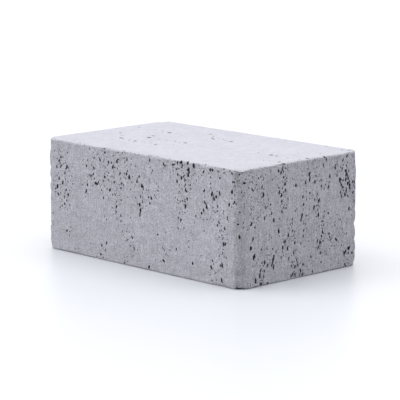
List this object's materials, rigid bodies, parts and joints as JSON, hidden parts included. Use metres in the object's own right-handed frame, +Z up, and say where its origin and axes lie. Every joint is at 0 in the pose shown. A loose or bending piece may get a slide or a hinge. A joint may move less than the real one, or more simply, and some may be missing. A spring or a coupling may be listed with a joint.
{
  "type": "foam brick",
  "caption": "Small rectangular block sawn from rigid grey mineral foam, with rounded upright corners and open cells on every face; held in the hand to rub and scour.",
  "frame": {"origin": "middle of the broad face that the brick lies on", "axes": "+X along the length, +Y across the width, +Z up through the thickness"},
  "size_m": [0.1, 0.06, 0.041],
  "materials": {
    "mineral_foam": "sawn and rubbed flat, dry and matt, with open cells"
  },
  "bodies": {
    "root": {"foam_block": "mineral_foam"}
  },
  "joints": []
}
